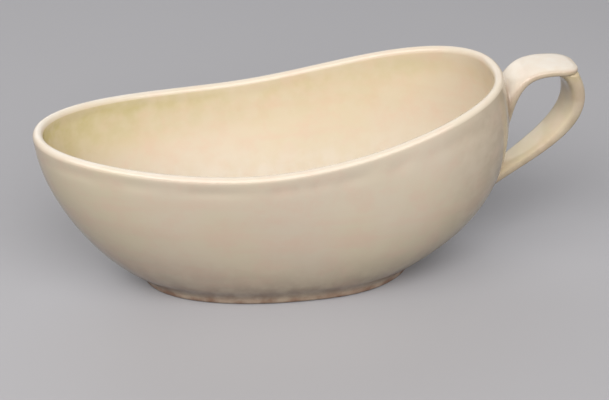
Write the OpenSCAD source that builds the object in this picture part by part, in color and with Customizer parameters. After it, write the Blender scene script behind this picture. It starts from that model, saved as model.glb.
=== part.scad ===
// Bourdaloue: a boat-shaped glazed vessel on a low oval foot, with a loop handle of two flat straps.
// Millimetres. X runs from the front to the handle, Y across and Z up. The foot stands on Z = 0.

/* [Rim] */
// From the widest section to the front end of the rim
front_length = 127; // [115:1:139]
// From the widest section to the back end of the rim
back_length = 90; // [82:1:98]
// Width across the rim
rim_width = 99; // [90:1:110]
// Height of the rim at its lowest point
waist_height = 79.5; // [74:0.5:84]
// Height of the rim at the front end
front_height = 86; // [80:0.5:94]
// Height of the rim at the back end
back_height = 101; // [95:0.5:108]
// From the widest section forward to the lowest point of the rim
waist_offset = 36; // [20:1:50]
// Roundness of the front half in plan, where 2 is an ellipse and more is squarer
front_fullness = 2.1; // [2:0.05:2.4]
// Roundness of the back half in plan
back_fullness = 2.25; // [2:0.05:2.6]

/* [Wall] */
// Thickness of the wall
wall = 4.6; // [3.6:0.1:5.6]
// Height of the rounded top of the lip
lip_round = 2.3; // [1.5:0.1:3]
// Thickness of the floor
floor_thickness = 5; // [4:0.5:8]
// Reach of the soft curve between floor and wall inside
floor_blend = 14; // [8:1:20]
// Rise of the underside where it leaves the foot, as a share of the wall's height
heel = 0.1; // [0.06:0.01:0.14]
// Where the underside turns up at the front, as a share of its run
front_turn = 0.43; // [0.35:0.01:0.55]
// Where the underside turns up at the sides
side_turn = 0.53; // [0.45:0.01:0.65]
// Where the underside turns up at the back
back_turn = 0.55; // [0.45:0.01:0.65]
// Where the wall comes upright at the front, as a share of its height
front_spring = 0.6; // [0.5:0.01:0.7]
// Where the wall comes upright at the sides
side_spring = 0.47; // [0.4:0.01:0.55]
// Where the wall comes upright at the back
back_spring = 0.37; // [0.3:0.01:0.45]
// How much the back swells past the rim before it leans in, as a share of the run
back_swell = 0.44; // [0.2:0.02:0.6]

/* [Foot] */
// From the widest section to the front end of the foot
foot_front = 83; // [74:1:90]
// From the widest section to the back end of the foot
foot_back = 50; // [44:1:56]
// Width across the foot
foot_width = 69; // [62:1:76]
// Height of the foot ring
foot_height = 5; // [3:0.5:8]
// Thickness of the foot ring
foot_wall = 7; // [5:0.5:10]

/* [Handle] */
// Width of the upper strap, and of the lower strap under the thumb rest
strap_width = 20.8; // [17:0.1:24]
// Width of the lower strap at its root
lower_width = 11.4; // [10:0.1:15]
// Thickness of the upper strap at the thumb rest and of the lower strap at its root
strap_thickness = 4.2; // [3.4:0.1:5]
// Thickness of the upper strap at its root
root_thickness = 6.4; // [5:0.1:7.5]
// Thickness of the lower strap under the thumb rest
bow_thickness = 8; // [6.6:0.1:9]
// From the back end of the rim to the tip of the thumb rest
handle_reach = 37.6; // [35:0.1:41]
// From the top of the rim at the back down to the middle of the upper root
upper_root_drop = 18.4; // [16:0.1:21]
// From the top of the rim at the back down to the tip of the thumb rest
thumb_drop = 4.3; // [3:0.1:7]
// Height of the middle of the lower root
lower_root_height = 36.3; // [34:0.1:40]
// From the tip of the thumb rest back to where the lower strap meets the upper one
thumb_overhang = 5.5; // [5:0.1:7]
// How much the lower strap thins up to where it is luted under the thumb rest, as a share
neck_thinning = 0.2; // [0:0.05:0.3]
// How much the lower strap narrows there, as a share
neck_narrowing = 0.08; // [0:0.02:0.2]
// Length over which the thumb rest rounds off to its tip
tip_round = 9; // [7:0.5:12]
// How much each strap spreads where it is pressed on to the wall
root_flare = 1.2; // [0.6:0.1:1.8]

/* [Handle bends] */
// Climb of the upper strap as it leaves the wall, in degrees
upper_climb = 71; // [66:1:76]
// Length over which the upper strap keeps that climb
upper_pull = 16.6; // [14.6:0.1:18.6]
// Fall of the thumb rest at its tip, in degrees
thumb_fall = 7; // [4:1:14]
// Length over which the thumb rest keeps that fall
thumb_pull = 22.8; // [20:0.1:25]
// Fall of the lower strap as it leaves the thumb rest, in degrees
bow_fall = 55; // [50:1:60]
// Length over which the lower strap keeps that fall
bow_pull = 31.7; // [28:0.1:34]
// Climb of the lower strap as it leaves its root, in degrees
lower_climb = 37; // [33:1:40]
// Length over which the lower strap keeps that climb
lower_pull = 35.6; // [32:0.1:39]

/* [Slip joints] */
// Gap between the fired pieces and their slip
joint_gap = 0.15; // [0.1:0.01:0.25]
// Leg of the slip fillet round the root of the upper strap
upper_slip = 2.6; // [1.5:0.1:3.2]
// Leg of the slip fillet round the root of the lower strap
lower_slip = 4; // [2:0.1:4.5]
// Reach of the slip bead under the thumb rest, along the upper strap
thumb_slip_reach = 5.5; // [4:0.1:6.5]
// Drop of that bead down the inside of the lower strap
thumb_slip_drop = 12; // [9:0.1:13]
// Plain margin at each side of that bead
thumb_margin = 1.6; // [1:0.1:2.5]
// Leg of the slip bead inside the foot ring
foot_slip_leg = 2; // [1:0.1:2.4]

/* [Hidden] */

cream = [0.93, 0.89, 0.81];
slip_cream = [0.90, 0.86, 0.75];

// Points and rows of the curved surfaces
around = 88;
wall_rows = 16;
lip_rows = 6;
inner_rows = 14;
floor_rows = 5;
strap_rows = 18;
strap_sides = 24;
cap_rows = 4;
end_rows = 6;
fillet_rows = 3;
bead_rows = 6;
angles = [for (i = [0 : around - 1]) 360 * i / around];
sides = [0 : strap_sides - 1];

// Squareness of a strap's edges, of its edges at the root and of the tip of the thumb rest
edge_power = 3.5;
root_power = 2.6;
tip_power = 2.4;
// How late the lower strap narrows, where 1 is evenly from top to root
taper_power = 1.7;
// Thickness left at the very tip, as a share of the strap's
tip_edge_share = 0.5;
// Where the free part of each strap starts and ends along its curve
upper_start_share = 0.3;
upper_end_share = 0.995;
lower_start_share = 0.2;
lower_end_share = 0.8;
// Where each curve, run on past its root, is all inside the bowl's outside
upper_sunk_share = -0.4;
lower_sunk_share = 1.25;
// Where the lower curve, run back past its start, is all above the thumb rest's underside
thumb_sunk_share = -0.15;
// How far a point is slid either way in search of its seat
seat_search = 26;
search_steps = 20;
// How hollow the bead under the thumb rest is, from 0 for flat to 1 for a sharp corner
bead_hollow_share = 0.62;
// Small steps by which slopes are measured
probe_share = 0.01;
probe_angle = 1;

floor_top = foot_height + floor_thickness;

// Curves

function unit(v) = v / norm(v);

function bezier(t, a, b, c, d) =
    pow(1 - t, 3) * a + 3 * pow(1 - t, 2) * t * b + 3 * (1 - t) * t * t * c + t * t * t * d;

function bezier_along(t, a, b, c, d) =
    unit(pow(1 - t, 2) * (b - a) + 2 * (1 - t) * t * (c - b) + t * t * (d - c));

function polar(length, angle) = length * [cos(angle), sin(angle)];

function signed_pow(v, power) = sign(v) * pow(abs(v), power);

function soft_max(a, b, reach) =
    max(a, b) + pow(max(reach - abs(a - b), 0) / reach, 2) * reach / 4;

// A value that changes smoothly from front to side to back, where c is the cosine of the angle
function by_angle(front, side, back, c) =
    side + (back - front) / 2 * c + ((back + front) / 2 - side) * c * c;

// Bowl

function outline(angle, front, back, width) =
    let (
        c = cos(angle),
        reach = c > 0 ? back : front,
        fullness = (front_fullness + back_fullness) / 2 + (back_fullness - front_fullness) / 2 * c
    )
    pow(pow(abs(c) / reach, fullness) + pow(abs(sin(angle)) / (width / 2), fullness), -1 / fullness);

function rim_radius(angle) = outline(angle, front_length, back_length, rim_width);

function foot_radius(angle) = outline(angle, foot_front, foot_back, foot_width);

function foot_inner_radius(angle) =
    outline(angle, foot_front - foot_wall, foot_back - foot_wall, foot_width - 2 * foot_wall);

function ease(u) = u * u * (2 - u);

// Height of the rim's top: it rises from its waist to both ends
function rim_height(x) =
    x > -waist_offset
    ? waist_height + (back_height - waist_height) * ease((x + waist_offset) / (back_length + waist_offset))
    : waist_height + (front_height - waist_height) * ease((x + waist_offset) / (waist_offset - front_length));

// What shapes the wall at one angle: foot, rim, top, turn, swell and spring
function wall_shape(angle) =
    let (c = cos(angle), rim = rim_radius(angle))
    [
        foot_radius(angle),
        rim,
        rim_height(rim * c) - lip_round,
        by_angle(front_turn, side_turn, back_turn, c),
        by_angle(0, 0, back_swell, c),
        by_angle(front_spring, side_spring, back_spring, c)
    ];

function shape_radius(shape, t) =
    shape[0] + (shape[1] - shape[0]) * bezier(t, 0, shape[3], 1 + shape[4], 1);

function shape_height(shape, t) =
    foot_height + (shape[2] - foot_height) * bezier(t, 0, heel, shape[5], 1);

// Slope of the underside where it leaves the foot
function shape_slope(shape) =
    heel * (shape[2] - foot_height) / (shape[3] * (shape[1] - shape[0]));

// The share of the way up a wall at which it reaches a height
function share_at(shape, z, low = 0, high = 1, steps = search_steps) =
    let (mid = (low + high) / 2)
    steps == 0 ? mid
    : shape_height(shape, mid) < z ? share_at(shape, z, mid, high, steps - 1)
    : share_at(shape, z, low, mid, steps - 1);

function wall_point(angle, t) =
    let (shape = wall_shape(angle), r = shape_radius(shape, t))
    [r * cos(angle), r * sin(angle), shape_height(shape, t)];

function wall_along(angle, t) = unit(wall_point(angle, t + probe_share) - wall_point(angle, t - probe_share));

function wall_across(angle, t) =
    unit(wall_point(angle + probe_angle, t) - wall_point(angle - probe_angle, t));

function wall_normal(angle, t) = unit(cross(wall_across(angle, t), wall_along(angle, t)));

function inner_point(angle, t) = wall_point(angle, t) - wall * wall_normal(angle, t);

function lip_point(angle, turn) =
    wall_point(angle, 1)
    + wall / 2 * (cos(turn) - 1) * wall_normal(angle, 1)
    + lip_round * sin(turn) * wall_along(angle, 1);

function raised(p) = [p.x, p.y, soft_max(p.z, floor_top, floor_blend)];

function floor_point(angle, share) =
    let (
        edge = inner_point(angle, 0),
        drop = (1 - share) * norm([edge.x, edge.y]) * shape_slope(wall_shape(angle))
    )
    raised([edge.x * share, edge.y * share, edge.z - drop]);

function bowl_rings() = concat(
    [for (k = [0 : wall_rows]) [for (a = angles) wall_point(a, k / wall_rows)]],
    [for (k = [1 : lip_rows]) [for (a = angles) lip_point(a, 180 * k / lip_rows)]],
    [for (k = [1 : inner_rows]) [for (a = angles) raised(inner_point(a, 1 - k / inner_rows))]],
    [for (k = [1 : floor_rows - 1]) [for (a = angles) floor_point(a, 1 - k / floor_rows)]]
);

// Room between a point and the outside of the wall
wall_room = function (p)
    let (shape = wall_shape(atan2(p.y, p.x)))
    norm([p.x, p.y]) - shape_radius(shape, share_at(shape, p.z));

function back_wall(z) = let (shape = wall_shape(0)) [shape_radius(shape, share_at(shape, z)), z];

// Handle curves, in the middle plane

upper_root = back_wall(back_height - upper_root_drop);
upper_lift = upper_root + polar(upper_pull, upper_climb);
thumb_tip = [back_length + handle_reach, back_height - thumb_drop];
thumb_lift = thumb_tip + polar(thumb_pull, 180 - thumb_fall);

function upper_centre(t) = bezier(t, upper_root, upper_lift, thumb_lift, thumb_tip);

function upper_along(t) = bezier_along(t, upper_root, upper_lift, thumb_lift, thumb_tip);

// The share along the upper strap at which its middle reaches x
function upper_at(x, low = 0, high = 1, steps = search_steps) =
    let (mid = (low + high) / 2)
    steps == 0 ? mid
    : upper_centre(mid).x < x ? upper_at(x, mid, high, steps - 1)
    : upper_at(x, low, mid, steps - 1);

lower_top = upper_centre(upper_at(thumb_tip.x - thumb_overhang));
lower_bow = lower_top + polar(bow_pull, -bow_fall);
lower_root = back_wall(lower_root_height);
lower_lift = lower_root + polar(lower_pull, lower_climb);

function lower_centre(t) = bezier(t, lower_top, lower_bow, lower_lift, lower_root);

function lower_along(t) = bezier_along(t, lower_top, lower_bow, lower_lift, lower_root);

function across(along) = [-along.y, along.x];

// Strap sections

function tip_share(t) =
    let (left = (thumb_tip.x - upper_centre(t).x) / tip_round)
    left >= 1 ? 1 : pow(1 - pow(1 - max(left, 0), tip_power), 1 / tip_power);

function upper_half_thickness(t) =
    (strap_thickness + (root_thickness - strap_thickness) * pow(1 - t, 2)) / 2
    * (tip_edge_share + (1 - tip_edge_share) * tip_share(t));

function neck_share(t, loss) = 1 - loss * pow(min(max(1 - t / lower_start_share, 0), 1), 2);

function lower_half_thickness(t) =
    neck_share(t, neck_thinning) * (bow_thickness + (strap_thickness - bow_thickness) * t) / 2;

function lower_half_width(t) =
    neck_share(t, neck_narrowing)
    * (strap_width + (lower_width - strap_width) * pow(abs(t), taper_power)) / 2;

// One point of a strap's section: i counts round it, and free is 0 at its root and 1 or more clear of it
function strap_point(i, centre, along, half_width, half_thickness, free) =
    let (
        turn = 360 * i / strap_sides,
        power = root_power + (edge_power - root_power) * min(max(free, 0), 1),
        side = half_width * signed_pow(cos(turn), 2 / power),
        face = centre + half_thickness * signed_pow(sin(turn), 2 / power) * across(along)
    )
    [face.x, side, face.y];

upper_point = function (i, t, grow = 0, share = 1) strap_point(
    i,
    upper_centre(t),
    upper_along(t),
    (strap_width / 2 * tip_share(t) + grow) * share,
    (upper_half_thickness(t) + grow) * share,
    t / upper_start_share
);

// Counted the other way round, because this strap's curve runs towards its root
lower_point = function (i, t, grow = 0, share = 1) strap_point(
    -i,
    lower_centre(t),
    lower_along(t),
    (lower_half_width(t) + grow) * share,
    (lower_half_thickness(t) + grow) * share,
    (1 - t) / (1 - lower_end_share)
);

function ring(point, t) = [for (i = sides) point(i, t)];

// The share along its curve at which one line of a strap meets the piece that it is luted to
function meet(line, free, sunk, room, steps = search_steps) =
    let (mid = (free + sunk) / 2)
    steps == 0 ? mid
    : room(line(mid)) > joint_gap ? meet(line, mid, sunk, room, steps - 1)
    : meet(line, free, mid, room, steps - 1);

// The rings of a strap's luted end, from the middle of its seat out to its free part
function end_rings(point, free, sunk, room, flare) =
    let (met = [for (i = sides) meet(function (t) point(i, t, flare), free, sunk, room)])
    concat(
        [
            for (k = [1 : cap_rows])
                [
                    for (i = sides)
                        let (line = function (t) point(i, t, flare, k / cap_rows))
                        line(meet(line, free, sunk, room))
                ]
        ],
        [
            for (k = [1 : end_rows - 1])
                let (f = k / end_rows)
                [for (i = sides) point(i, met[i] + (free - met[i]) * f, flare * pow(1 - f, 2))]
        ]
    );

// The middle of a strap's seat
function end_middle(centre, free, sunk, room) =
    let (line = function (t) deep(centre(t)))
    line(meet(line, free, sunk, room));

// Slides a point along a direction until the room to the wall is the joint gap
function seat(p, way, low = -seat_search, high = seat_search, steps = search_steps) =
    let (mid = (low + high) / 2)
    steps == 0 ? p + way * mid
    : wall_room(p + way * mid) > joint_gap ? seat(p, way, mid, high, steps - 1)
    : seat(p, way, low, mid, steps - 1);

function deep(v) = [v.x, 0, v.y];

// The underside of the upper strap at x
function thumb_under(x) =
    let (t = upper_at(x), along = upper_along(t))
    upper_centre(t).y - upper_half_thickness(t) / along.x;

thumb_room = function (p) thumb_under(p.x) - p.z;

// Where the pieces lie: the part's origin is under the middle of its length

lower_outside = [for (k = [0 : strap_rows]) lower_point(-strap_sides / 4, k / strap_rows).x];
handle_end = max(concat(lower_outside, [thumb_tip.x]));
to_origin = [(front_length - handle_end) / 2, 0, 0];

// Solids

// A closed skin over rings of points, with a point to close each end
module skin(rings, first, last) {
    count = len(rings[0]);
    top = 1 + (len(rings) - 1) * count;
    points = concat([first], [for (ring = rings) each ring], [last]);
    faces = concat(
        [for (i = [0 : count - 1]) [0, 1 + i, 1 + (i + 1) % count]],
        [
            for (k = [0 : len(rings) - 2], i = [0 : count - 1])
                let (a = 1 + k * count + i, b = 1 + k * count + (i + 1) % count)
                each [[a, b + count, b], [a, a + count, b + count]]
        ],
        [for (i = [0 : count - 1]) [len(points) - 1, top + (i + 1) % count, top + i]]
    );
    polyhedron(points, faces);
}

// A closed loop of sections
module loop(sections) {
    count = len(sections[0]);
    total = len(sections) * count;
    faces = [
        for (j = [0 : len(sections) - 1], k = [0 : count - 1])
            let (
                a = j * count + k,
                b = j * count + (k + 1) % count,
                c = (b + count) % total,
                d = (a + count) % total
            )
            each [[a, c, b], [a, d, c]]
    ];
    polyhedron([for (section = sections) each section], faces);
}

// A hollow-faced fillet in a corner, with one leg ending at first and the other at last
function fillet(corner, first, last) = concat(
    [corner],
    [
        for (k = [0 : fillet_rows])
            let (turn = 90 * k / fillet_rows)
            first + last - corner + (corner - last) * cos(turn) + (corner - first) * sin(turn)
    ]
);

module bowl() {
    color(cream)
        translate(to_origin)
            skin(bowl_rings(), [0, 0, foot_height], [0, 0, floor_top]);
}

module foot_ring() {
    color(cream)
        translate(to_origin)
            linear_extrude(foot_height)
                difference() {
                    polygon([for (a = angles) polar(foot_radius(a), a)]);
                    polygon([for (a = angles) polar(foot_inner_radius(a), a)]);
                }
}

module upper_strap() {
    span = upper_end_share - upper_start_share;
    // The rings crowd together towards the tip
    free_rings = [
        for (k = [0 : strap_rows])
            ring(upper_point, upper_start_share + span * (1 - pow(1 - k / strap_rows, 1.6)))
    ];
    root = end_rings(upper_point, upper_start_share, upper_sunk_share, wall_room, root_flare);
    first = end_middle(function (t) upper_centre(t), upper_start_share, upper_sunk_share, wall_room);
    color(cream)
        translate(to_origin)
            skin(concat(root, free_rings), first, deep(thumb_tip));
}

module lower_strap() {
    span = lower_start_share - lower_end_share;
    centre = function (t) lower_centre(t);
    root = end_rings(lower_point, lower_end_share, lower_sunk_share, wall_room, root_flare);
    free_rings = [for (k = [0 : strap_rows]) ring(lower_point, lower_end_share + span * k / strap_rows)];
    top = end_rings(lower_point, lower_start_share, thumb_sunk_share, thumb_room, 0);
    rings = concat(root, free_rings, [for (k = [len(top) - 1 : -1 : 0]) top[k]]);
    first = end_middle(centre, lower_end_share, lower_sunk_share, wall_room);
    last = end_middle(centre, lower_start_share, thumb_sunk_share, thumb_room);
    color(cream)
        translate(to_origin)
            skin(rings, first, last);
}

// Fillet sections round a strap's root: one leg lies along the strap, the other on the wall
function root_sections(point, free, sunk, leg) = [
    for (i = sides)
        let (
            line = function (t) point(i, t, root_flare + joint_gap),
            wider = function (t) point(i, t, root_flare + joint_gap + leg / 4),
            met = meet(line, free, sunk, wall_room),
            corner = line(met),
            on_strap = corner + leg * unit(line(met + (free - met) / 10) - corner),
            beside = corner + leg * unit(wider(meet(wider, free, sunk, wall_room)) - corner),
            on_wall = seat(beside, -unit([beside.x, beside.y, 0]))
        )
        fillet(corner, on_strap, on_wall)
];

module upper_root_slip() {
    color(slip_cream)
        translate(to_origin)
            loop(root_sections(upper_point, upper_start_share, upper_sunk_share, upper_slip));
}

module lower_root_slip() {
    color(slip_cream)
        translate(to_origin)
            loop(root_sections(lower_point, lower_end_share, lower_sunk_share, lower_slip));
}

// A hollow-faced bead in the corner between the upper strap's underside and the inside of the lower strap
module thumb_rest_slip() {
    line = function (t) lower_point(strap_sides / 4, t, joint_gap);
    met = meet(line, lower_start_share, thumb_sunk_share, thumb_room);
    corner = line(met);
    along_strap = probe_share * thumb_slip_drop / norm(line(met + probe_share) - corner);
    steps = [1 : bead_rows];
    on_strap = [for (k = steps) line(met + along_strap * k / bead_rows)];
    on_rest = [
        for (k = steps)
            let (x = corner.x - thumb_slip_reach * k / bead_rows)
            [x, 0, thumb_under(x) - joint_gap]
    ];
    top = on_rest[bead_rows - 1];
    low = on_strap[bead_rows - 1];
    top_pull = top + bead_hollow_share * (corner - top);
    low_pull = low + bead_hollow_share * (corner - low);
    face = [for (k = [1 : bead_rows - 1]) bezier(k / bead_rows, top, top_pull, low_pull, low)];
    up_strap = [for (k = [bead_rows - 1 : -1 : 0]) on_strap[k]];
    color(slip_cream)
        translate(to_origin)
            rotate([90, 0, 0])
                linear_extrude(strap_width - 2 * thumb_margin, center = true)
                    polygon([for (p = concat([corner], on_rest, face, up_strap)) [p.x, p.z]]);
}

module foot_slip() {
    sections = [
        for (a = angles)
            let (
                out = [cos(a), sin(a), 0],
                corner = (foot_inner_radius(a) - joint_gap) * out + [0, 0, foot_height - joint_gap]
            )
            fillet(corner, corner - [0, 0, foot_slip_leg], corner - foot_slip_leg * out)
    ];
    color(slip_cream)
        translate(to_origin)
            loop(sections);
}

bowl();
foot_ring();
upper_strap();
lower_strap();
upper_root_slip();
lower_root_slip();
thumb_rest_slip();
foot_slip();
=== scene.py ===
"""Bourdaloue: fine glazed meshes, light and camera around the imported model.

Sizes are in millimetres, as in the part's source, and become metres when a mesh is made.
"""
import math

import bpy
import numpy as np
from mathutils import Matrix, Vector


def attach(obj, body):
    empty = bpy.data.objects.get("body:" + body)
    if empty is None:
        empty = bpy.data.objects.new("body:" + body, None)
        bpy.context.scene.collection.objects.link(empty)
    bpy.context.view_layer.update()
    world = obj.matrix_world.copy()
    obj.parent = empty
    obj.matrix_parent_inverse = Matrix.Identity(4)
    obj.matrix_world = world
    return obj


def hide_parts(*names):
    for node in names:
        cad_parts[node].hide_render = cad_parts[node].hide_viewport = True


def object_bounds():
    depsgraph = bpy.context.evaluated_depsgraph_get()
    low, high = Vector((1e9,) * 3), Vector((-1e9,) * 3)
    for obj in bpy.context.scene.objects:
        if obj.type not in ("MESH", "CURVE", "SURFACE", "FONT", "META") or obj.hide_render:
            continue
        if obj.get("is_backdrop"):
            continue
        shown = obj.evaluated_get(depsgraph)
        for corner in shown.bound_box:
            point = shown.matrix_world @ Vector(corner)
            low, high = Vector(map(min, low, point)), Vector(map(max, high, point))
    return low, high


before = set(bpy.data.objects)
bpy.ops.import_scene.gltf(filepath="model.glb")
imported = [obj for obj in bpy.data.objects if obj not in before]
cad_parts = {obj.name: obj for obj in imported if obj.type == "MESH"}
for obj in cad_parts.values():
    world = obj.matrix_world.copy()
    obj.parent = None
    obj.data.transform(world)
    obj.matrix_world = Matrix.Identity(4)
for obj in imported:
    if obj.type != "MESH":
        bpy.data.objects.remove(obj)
cad_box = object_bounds()

MM = 0.001

# Rim and wall
FRONT_LENGTH = 127.0
BACK_LENGTH = 90.0
RIM_WIDTH = 99.0
WAIST_HEIGHT = 79.5
FRONT_HEIGHT = 86.0
BACK_HEIGHT = 101.0
WAIST_OFFSET = 36.0
FRONT_FULLNESS = 2.1
BACK_FULLNESS = 2.25
WALL = 4.6
LIP_ROUND = 2.3
LIP_RISE = 2.23
FLOOR_BLEND = 14.0
# Pulls of the wall's profile, as shares of its reach and rise. Three are its front, side and back.
HEEL = 0.1
TURN = (0.43, 0.53, 0.55)
SPRING = (0.6, 0.47, 0.37)
SWELL = (0.0, 0.0, 0.44)

# Foot
FOOT_FRONT = 83.0
FOOT_BACK = 50.0
FOOT_WIDTH = 69.0
FOOT_HEIGHT = 5.0
FOOT_WALL = 7.0
FOOT_EDGE_ROUND = 1.8
BASE = 5.0
FLOOR_TOP = FOOT_HEIGHT + BASE
# The foot's soft run into the body: how far below its top it starts, and its end as a share up the wall
RUN_DROP = 2.6
RUN_END = 0.1

# Handle
STRAP_WIDTH = 20.8
LOWER_WIDTH = 11.4
STRAP_THICKNESS = 4.2
ROOT_THICKNESS = 6.4
BOW_THICKNESS = 8.0
HANDLE_REACH = 37.6
UPPER_ROOT_DROP = 18.4
THUMB_DROP = 4.3
LOWER_ROOT_HEIGHT = 36.3
THUMB_OVERHANG = 5.5
NECK_THINNING = 0.2
NECK_NARROWING = 0.08
TIP_ROUND = 9.0
TIP_NOSE = 1.3
ROOT_FLARE = 1.2
EDGE_POWER = 3.5
ROOT_POWER = 2.6
TIP_POWER = 2.4
TAPER_POWER = 1.7
TIP_EDGE = 0.5
# Pulls of the straps' curves, each a length and an angle in degrees
UPPER_ROOT_PULL = (16.6, 71.0)
UPPER_TIP_PULL = (22.8, 173.0)
LOWER_TOP_PULL = (31.7, -55.0)
LOWER_ROOT_PULL = (35.6, 37.0)
# Shares along the straps: where their luted ends start, and where they surely lie in the next piece
UPPER_START = 0.3
LOWER_START = 0.2
LOWER_END = 0.8
UPPER_SUNK = -0.4
LOWER_SUNK = 1.25
THUMB_SUNK = -0.15

# Slip
UPPER_SLIP = 2.6
LOWER_SLIP = 4.0
THUMB_SLIP_REACH = 5.5
THUMB_SLIP_DROP = 12.0
FOOT_SLIP = 2.0
# The thumb rest's bead: how far its ends are tucked in, between which shares of its half width, and
# its back's width as a share of the straps'
BEAD_TUCK = 0.35
BEAD_TUCK_SPAN = (0.75, 1.0)
BEAD_BACK_SHARE = 0.9
# How deep the back of a fillet lies in its corner, how its edges run out under the surfaces, and how
# far the curve of its face is pulled into the corner
SUNK = 0.3
EDGE_RUN = 1.2
EDGE_SUNK = 0.12
FILLET_PULL = 0.62

# How much the glaze pools, by place, with painted light: above 0 it is greener, from pooling and painted
# shade; below 0 it is whiter, from thin glaze and painted highlights
# Painted warm shade: the outside of the back end yellower
BACK_WARM_SHADE = 0.25
FRONT_POOL = 0.1
# The lip whiter: partly thin glaze, partly a painted highlight
LIP_THIN_AND_HIGHLIGHT = -0.5
INNER_POOL = 0.3
INNER_FRONT_TINT = 0.75
# Painted light: the inside of the back end whiter
INNER_BACK_PAINTED_LIGHT = -0.3
INNER_LIP_POOL = 0.25
# Painted highlight: the inside floor whiter
FLOOR_PAINTED_LIGHT = -1.1
# Painted light on the straps: yellower sides and undersides as painted shade, whiter tops as a painted
# highlight
STRAP_PAINTED_SHADE = 0.3
STRAP_TOP_PAINTED_LIGHT = -1.0

# How much painted brown shade the glaze gets, by place
LIP_RIPPLE_SHADE = 0.12
LOW_SHADE = 0.28
BACK_SHADE = 0.32
EDGE_SHADE = 0.35
FOOT_SHADE = 0.8

# Where pools, painted light and painted shade grow or fade, in millimetres along the vessel or up the
# foot
BACK_SPAN = (40.0, 92.0)
INNER_BACK_SPAN = (45.0, 86.0)
LIP_FRONT_SPAN = (40.0, 90.0)
FOOT_SHADE_SPAN = (1.5, 8.0)
# The same as shares: up the wall, over a strap's top, and out to a strap's or bead's edge
LOW_SPAN = (0.1, 0.65)
INNER_SPAN = (0.4, 0.9)
STRAP_TOP_SPAN = (0.0, 0.8)
STRAP_EDGE_SPAN = (0.75, 1.0)
BEAD_EDGE_SPAN = (0.85, 1.0)

# How deep the unevenness of the hand-pressed wall is
BROAD_WAVE = 0.10
FINE_WAVE = 0.03
LIP_WAVE = 0.24
LOW_WAVE = 0.05
# Where it grows and fades, as shares up the wall
WAVE_START = (0.12, 0.25)
WAVE_END = (0.97, 1.0)
INNER_WAVE_START = (0.2, 0.5)
# Where it grows away from the handle, as 1 less the cosine of the angle from it
HANDLE_CLEAR = (0.02, 0.12)
# How far round the waves inside and the painted shade under the lip are shifted, in radians
INNER_WAVE_SHIFT = 2.0
LIP_SHADE_SHIFT = 0.1
# Bands round the wall: the middle and the reach of each, as shares up the wall
LIP_BAND = (0.95, 0.024)
LIP_SHADE_BAND = (0.96, 0.02)
INNER_LIP_BAND = (0.95, 0.03)
LOW_BAND = (0.3, 0.12)

# Fineness of the meshes
AROUND = 300
STRAP_SIDES = 96
ROOT_ROWS = 26
THUMB_ROWS = 16
EDGE_ROWS = 6
RUN_ROWS = 10
ROOT_SLIP_ROWS = 12
FOOT_SLIP_ROWS = 8
BEAD_ROWS = 16
BEAD_COLUMNS = 61

# Fineness of searches and slopes
BISECTIONS = 44
SLIDES = 4
CURVE_SAMPLES = 4001
TURN_SAMPLES = 40001
STEP = 0.01


# Curves

def bezier(t, a, b, c, d):
    return (1 - t) ** 3 * a + 3 * (1 - t) ** 2 * t * b + 3 * (1 - t) * t ** 2 * c + t ** 3 * d


def unit(v):
    return v / np.linalg.norm(v, axis=-1, keepdims=True)


def polar(length, degrees):
    turn = math.radians(degrees)
    return length * np.array([math.cos(turn), math.sin(turn)])


def signed_pow(v, power):
    return np.sign(v) * np.abs(v) ** power


def smooth_step(v, low, high):
    u = np.clip((v - low) / (high - low), 0, 1)
    return u * u * (3 - 2 * u)


def hump(v, middle, reach):
    """1 at the middle, falling to 0 on both sides of it."""
    return np.exp(-((v - middle) / reach) ** 2)


def soft_max(a, b, reach):
    return np.maximum(a, b) + np.maximum(reach - np.abs(a - b), 0) ** 2 / reach / 4


def by_angle(values, c):
    front, side, back = values
    return side + (back - front) / 2 * c + ((back + front) / 2 - side) * c * c


def stack(x, y, z):
    return np.stack(np.broadcast_arrays(x, y, z), axis=-1)


# Bowl

def outline(angle, front, back, width):
    c = np.cos(angle)
    reach = np.where(c > 0, back, front)
    fullness = (FRONT_FULLNESS + BACK_FULLNESS) / 2 + (BACK_FULLNESS - FRONT_FULLNESS) / 2 * c
    along = (np.abs(c) / reach) ** fullness
    across = (np.abs(np.sin(angle)) / (width / 2)) ** fullness
    return (along + across) ** (-1 / fullness)


def rim_radius(angle):
    return outline(angle, FRONT_LENGTH, BACK_LENGTH, RIM_WIDTH)


def foot_radius(angle, inset=0.0):
    return outline(angle, FOOT_FRONT - inset, FOOT_BACK - inset, FOOT_WIDTH - 2 * inset)


def ease(u):
    return u * u * (2 - u)


def rim_height(x):
    behind = ease((x + WAIST_OFFSET) / (BACK_LENGTH + WAIST_OFFSET))
    before = ease((x + WAIST_OFFSET) / (WAIST_OFFSET - FRONT_LENGTH))
    back_rise = (BACK_HEIGHT - WAIST_HEIGHT) * behind
    front_rise = (FRONT_HEIGHT - WAIST_HEIGHT) * before
    return WAIST_HEIGHT + np.where(x > -WAIST_OFFSET, back_rise, front_rise)


def wall_radius(angle, t):
    c = np.cos(angle)
    foot = foot_radius(angle)
    return foot + (rim_radius(angle) - foot) * bezier(t, 0, by_angle(TURN, c), 1 + by_angle(SWELL, c), 1)


def wall_height(angle, t):
    c = np.cos(angle)
    rise = rim_height(rim_radius(angle) * c) - LIP_ROUND - FOOT_HEIGHT
    return FOOT_HEIGHT + rise * bezier(t, 0, HEEL, by_angle(SPRING, c), 1)


def wall_point(angle, t):
    radius = wall_radius(angle, t)
    return stack(radius * np.cos(angle), radius * np.sin(angle), wall_height(angle, t))


def wall_along(angle, t):
    return unit(wall_point(angle, t + STEP) - wall_point(angle, t - STEP))


def wall_normal(angle, t, step=math.radians(1)):
    across = wall_point(angle + step, t) - wall_point(angle - step, t)
    return unit(np.cross(across, wall_along(angle, t)))


def inner_point(angle, t):
    return wall_point(angle, t) - WALL * wall_normal(angle, t)


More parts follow.
